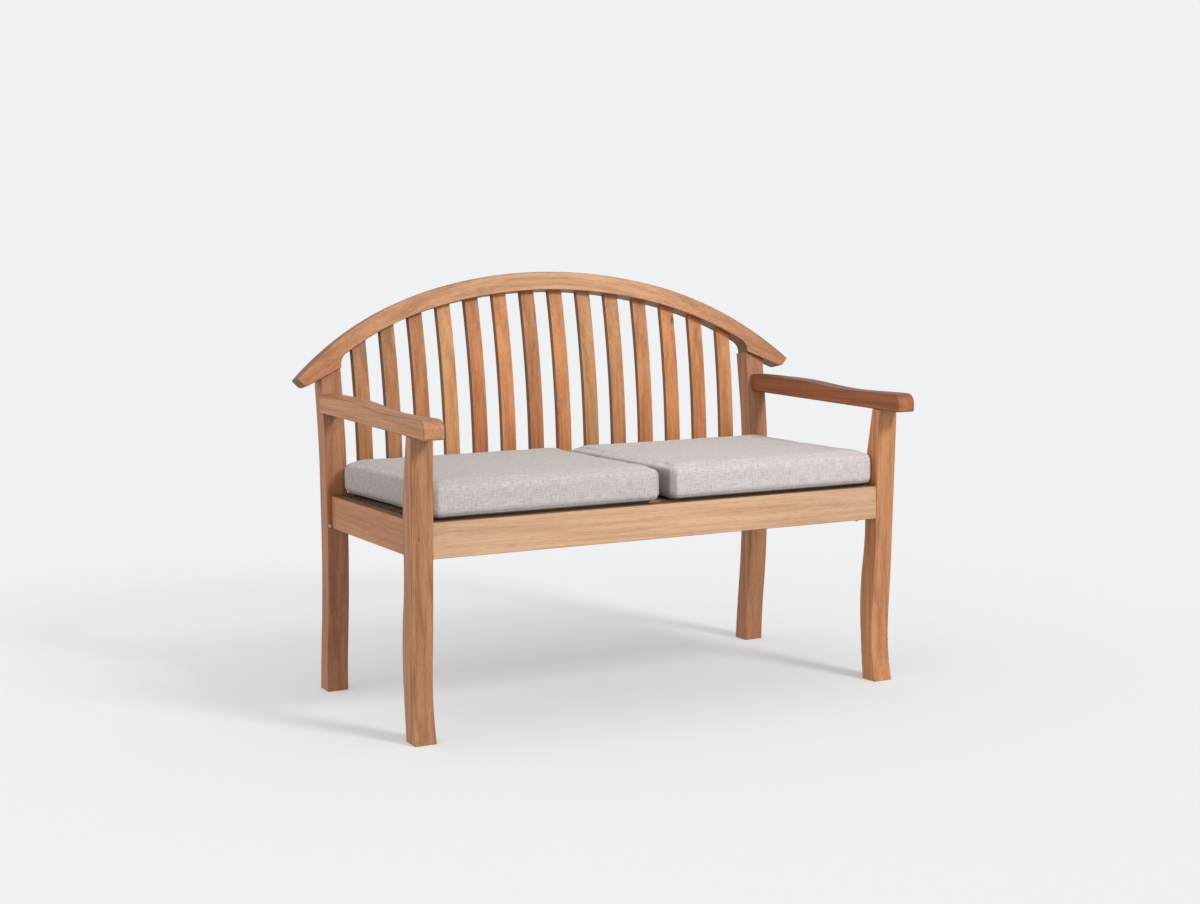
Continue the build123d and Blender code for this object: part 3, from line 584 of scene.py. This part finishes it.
def make_camera():
    """The camera, at the place and angle that were fitted to the photograph."""
    data = bpy.data.cameras.new("camera")
    data.lens = CAMERA_LENS
    data.sensor_width = SENSOR_WIDTH
    data.clip_end = 200
    camera = bpy.data.objects.new("camera", data)
    bpy.context.scene.collection.objects.link(camera)
    turn = Matrix.Rotation(math.radians(CAMERA_YAW), 4, "Z")
    tilt = Matrix.Rotation(math.radians(90 + CAMERA_PITCH), 4, "X")
    roll = Matrix.Rotation(math.radians(CAMERA_ROLL), 4, "Z")
    camera.matrix_world = Matrix.Translation(CAMERA_PLACE) @ turn @ tilt @ roll
    bpy.context.scene.camera = camera


def seen_directly(tree):
    """One for what the camera sees, straight or in a shine, and zero for light that falls on things."""
    path = node(tree, "ShaderNodeLightPath").outputs
    shine = maths(tree, "MAXIMUM", path["Is Glossy Ray"], path["Is Transmission Ray"])
    return maths(tree, "MAXIMUM", path["Is Camera Ray"], shine)


def make_floor():
    """A wide pale floor. For the camera it adds what the light on it lacks, so that it looks even."""
    bm = bmesh.new()
    bmesh.ops.create_grid(bm, x_segments=1, y_segments=1, size=FLOOR_HALF)
    mesh = bpy.data.meshes.new("floor")
    bm.to_mesh(mesh)
    bm.free()
    floor = bpy.data.objects.new("floor", mesh)
    bpy.context.scene.collection.objects.link(floor)
    material, tree, shader = new_material("floor_paint")
    shader.inputs["Base Color"].default_value = (*FLOOR_PAINT, 1)
    shader.inputs["Roughness"].default_value = 1.0
    shader.inputs["Specular IOR Level"].default_value = 0.0
    place = node(tree, "ShaderNodeNewGeometry").outputs["Position"]
    to_key = vector_maths(tree, "SUBTRACT", KEY_PLACE, place)[0]
    aim = (Vector(KEY_PLACE) - Vector(KEY_TARGET)).normalized()
    far = vector_maths(tree, "DOT_PRODUCT", to_key, to_key)[1]
    facing = vector_maths(tree, "DOT_PRODUCT", to_key, aim)[1]
    key = maths(tree, "DIVIDE", maths(tree, "MULTIPLY", facing, KEY_PLACE[2]),
                maths(tree, "POWER", far, 2.0))
    key = maths(tree, "MULTIPLY", maths(tree, "MAXIMUM", key, 0.0), KEY_POWER / math.pi**2)
    # the surround reaches the floor from two thirds of the way up on the mean
    level = maths(tree, "ADD", key, AMBIENT + AMBIENT_GAIN[2] * 2 / 3)
    lit = vector_maths(tree, "MULTIPLY", FLOOR_PAINT, vector(tree, level, level, level))[0]
    tree.links.new(vector_maths(tree, "SUBTRACT", BACKDROP, lit)[0], shader.inputs["Emission Color"])
    tree.links.new(seen_directly(tree), shader.inputs["Emission Strength"])
    floor.data.materials.append(material)


def make_lights():
    """A large soft key from the front's right, and a surround that is brighter left, in front and above."""
    data = bpy.data.lights.new("key", "AREA")
    data.shape = "DISK"
    data.size = KEY_SIZE
    data.energy = KEY_POWER
    key = bpy.data.objects.new("key", data)
    bpy.context.scene.collection.objects.link(key)
    key.location = KEY_PLACE
    key.rotation_mode = "QUATERNION"
    key.rotation_quaternion = (Vector(KEY_TARGET) - Vector(KEY_PLACE)).to_track_quat("-Z", "Y")
    key.visible_camera = False

    world = bpy.data.worlds.new("studio")
    bpy.context.scene.world = world
    world.use_nodes = True
    tree = world.node_tree
    background = tree.nodes["Background"]
    seen = seen_directly(tree)
    way = node(tree, "ShaderNodeTexCoord").outputs["Generated"]
    level = maths(tree, "ADD", vector_maths(tree, "DOT_PRODUCT", way, AMBIENT_GAIN)[1], AMBIENT)
    tree.links.new(tint(tree, seen, (1, 1, 1, 1), (*BACKDROP, 1)), background.inputs["Color"])
    tree.links.new(blend(tree, seen, level, 1.0), background.inputs["Strength"])


make_camera()
make_lights()
make_floor()
dress_frame()
make_cushion("left", LEFT_CUSHION_TONE, inward=1)
make_cushion("right", RIGHT_CUSHION_TONE, inward=-1)

bpy.context.scene.view_settings.view_transform = "Standard"
